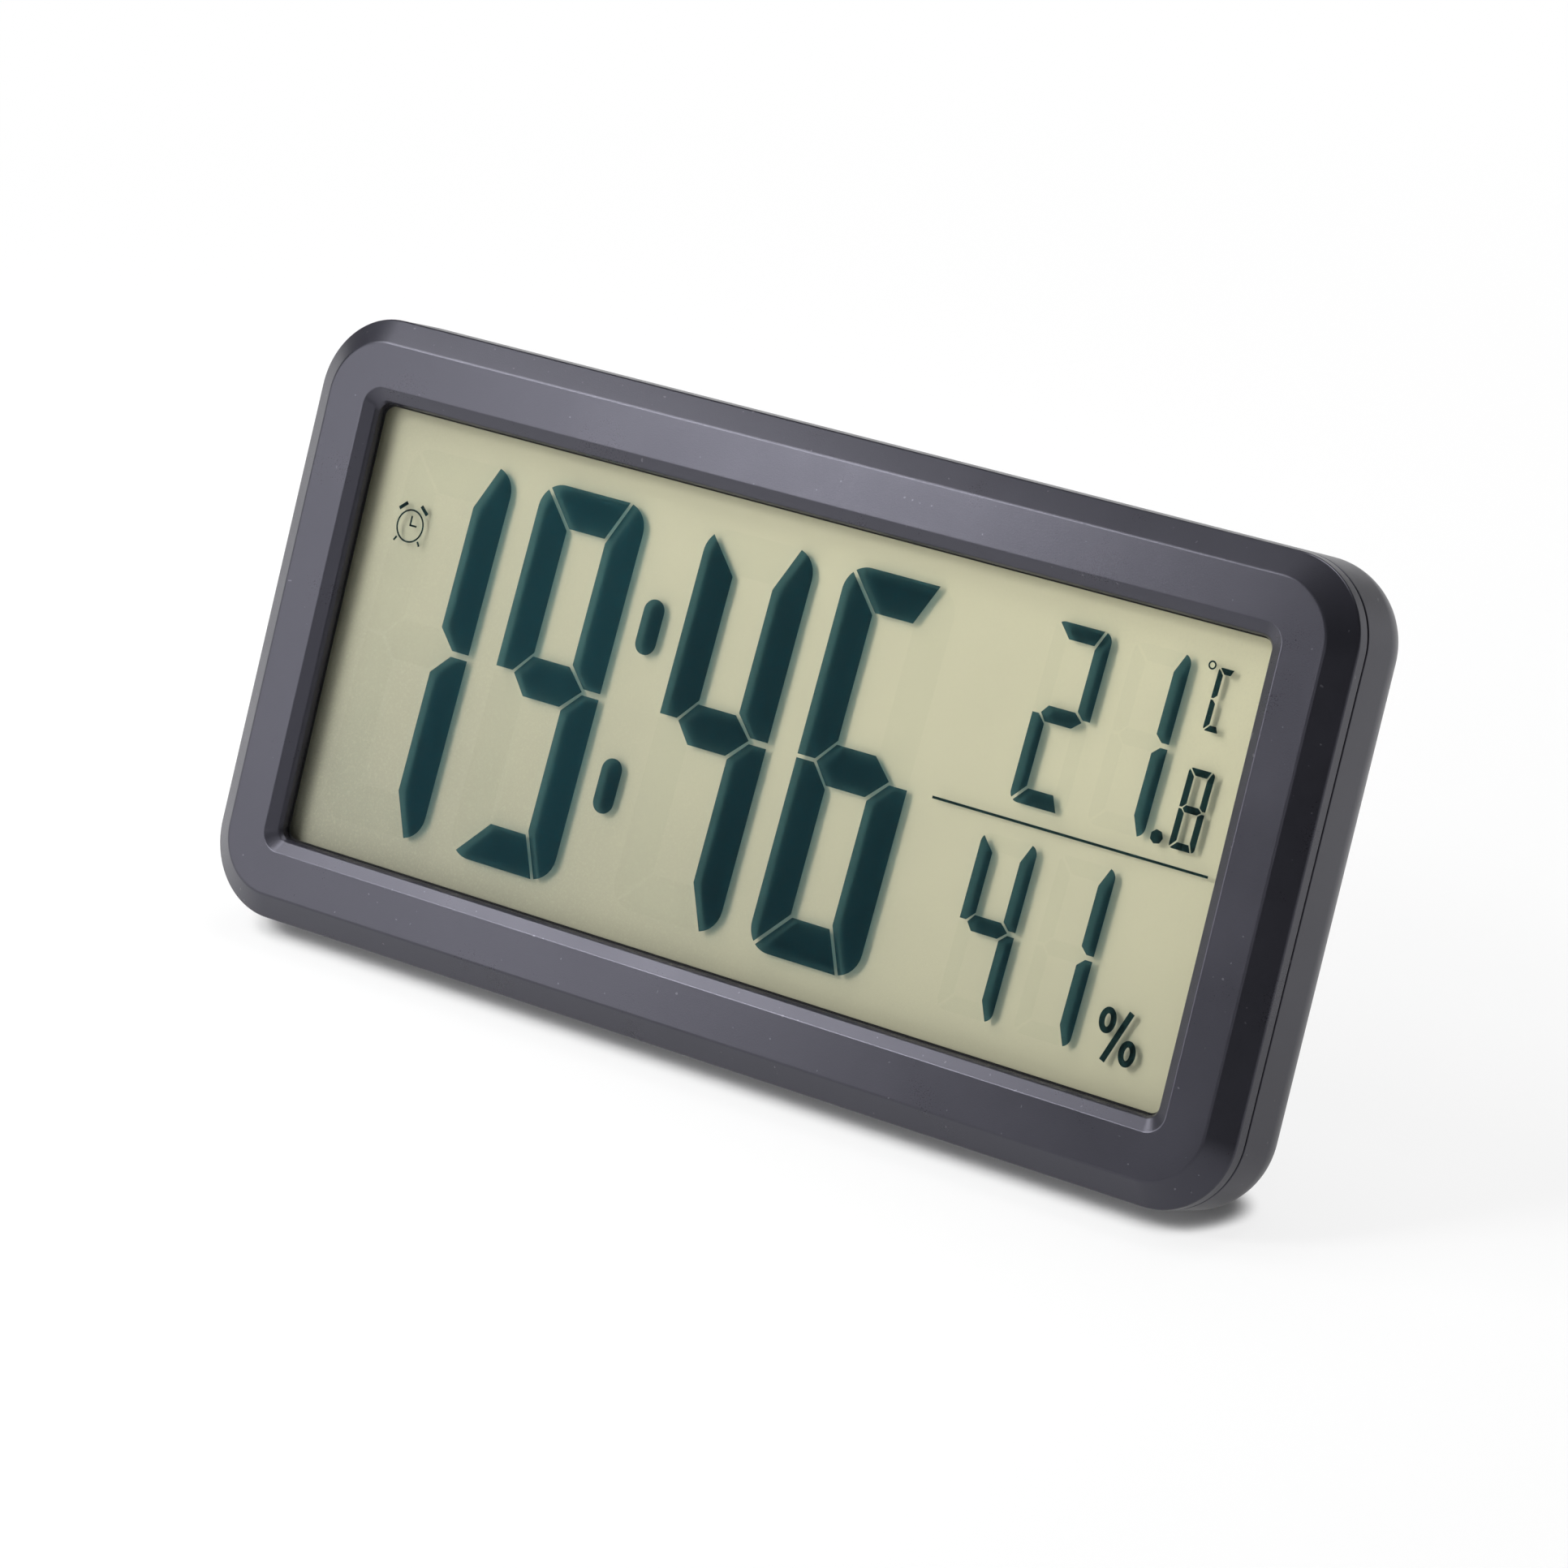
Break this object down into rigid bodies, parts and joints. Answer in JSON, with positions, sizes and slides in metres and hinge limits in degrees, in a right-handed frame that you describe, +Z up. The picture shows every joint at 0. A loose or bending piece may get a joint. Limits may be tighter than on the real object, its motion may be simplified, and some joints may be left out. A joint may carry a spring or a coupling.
{
  "type": "digital desk clock",
  "caption": "Leaning desk clock: chamfered bezel round a wide liquid-crystal display, rear cover with fold-out stand, rear keys, battery door and cells",
  "frame": {"origin": "middle of the footprint, on the table", "axes": "+X to the right seen from the front, +Y to the back, +Z up; the display looks to -Y and leans back"},
  "size_m": [0.165, 0.048, 0.0804],
  "materials": {
    "bezel_plastic": "satin charcoal moulding",
    "cover_plastic": "satin charcoal moulding",
    "key_plastic": "fine matt moulding",
    "clear_film": "clear polarising film",
    "clear_glass": "polished clear",
    "reflector_film": "satin beige-green reflector",
    "soft_rubber": "matt",
    "board_laminate": "green solder mask",
    "black_resin": "smooth black",
    "pale_plastic": "smooth off-white",
    "bare_steel": "bright plated",
    "brass_sheet": "rolled sheet",
    "white_ceramic": "fired, matt",
    "cell_jacket": "plain metallic sleeve",
    "red_wire": "insulation",
    "black_wire": "insulation"
  },
  "bodies": {
    "housing": {"front_bezel": "bezel_plastic", "rear_cover": "cover_plastic", "lcd_polariser": "clear_film", "lcd_front_glass": "clear_glass", "lcd_rear_glass": "clear_glass", "lcd_reflector": "reflector_film", "lcd_retainer": "key_plastic", "retainer_screw_1": "bare_steel", "retainer_screw_2": "bare_steel", "retainer_screw_3": "bare_steel", "zebra_strip": "soft_rubber", "foam_strip": "soft_rubber", "main_board": "board_laminate", "board_screw_1": "bare_steel", "board_screw_2": "bare_steel", "board_screw_3": "bare_steel", "chip_blob": "black_resin", "crystal_can": "bare_steel", "capacitor": "black_resin", "thermistor": "black_resin", "humidity_sensor": "pale_plastic", "switch_1": "black_resin", "switch_2": "black_resin", "switch_3": "black_resin", "switch_4": "black_resin", "piezo_disc": "brass_sheet", "piezo_ceramic": "white_ceramic", "piezo_lead_1": "red_wire", "piezo_lead_2": "black_wire", "battery_1": "cell_jacket", "battery_2": "cell_jacket", "contact_positive": "bare_steel", "contact_negative": "bare_steel", "contact_bridge": "bare_steel", "spring_negative": "bare_steel", "spring_bridge": "bare_steel", "lead_positive": "red_wire", "lead_negative": "black_wire", "case_screw_1": "bare_steel", "case_screw_2": "bare_steel", "case_screw_3": "bare_steel", "case_screw_4": "bare_steel"},
    "stand": {"stand": "cover_plastic"},
    "battery_door": {"battery_door": "cover_plastic"},
    "key_mode": {"key_mode": "key_plastic", "switch_plunger_1": "pale_plastic"},
    "key_up": {"key_up": "key_plastic", "switch_plunger_2": "pale_plastic"},
    "key_down": {"key_down": "key_plastic", "switch_plunger_3": "pale_plastic"},
    "key_alarm": {"key_alarm": "key_plastic", "switch_plunger_4": "pale_plastic"}
  },
  "joints": [
    {"name": "stand_fold", "type": "hinge", "parent": "housing", "child": "stand", "pos_m": [0, 0.01038, 0.0455], "axis": [-1, 0, 0], "range_deg": [0, 38]},
    {"name": "door_open", "type": "hinge", "parent": "housing", "child": "battery_door", "pos_m": [0.0611, -0.00301, 0.01012], "axis": [-1, 0, 0], "range_deg": [0, 45]},
    {"name": "key_mode_press", "type": "slide", "parent": "housing", "child": "key_mode", "axis": [0, -0.9205, 0.3907], "range_m": [0, 0.0005], "stiffness_N_per_m": 400},
    {"name": "key_up_press", "type": "slide", "parent": "housing", "child": "key_up", "axis": [0, -0.9205, 0.3907], "range_m": [0, 0.0005], "stiffness_N_per_m": 400},
    {"name": "key_down_press", "type": "slide", "parent": "housing", "child": "key_down", "axis": [0, -0.9205, 0.3907], "range_m": [0, 0.0005], "stiffness_N_per_m": 400},
    {"name": "key_alarm_press", "type": "slide", "parent": "housing", "child": "key_alarm", "axis": [0, -0.9205, 0.3907], "range_m": [0, 0.0005], "stiffness_N_per_m": 400}
  ]
}
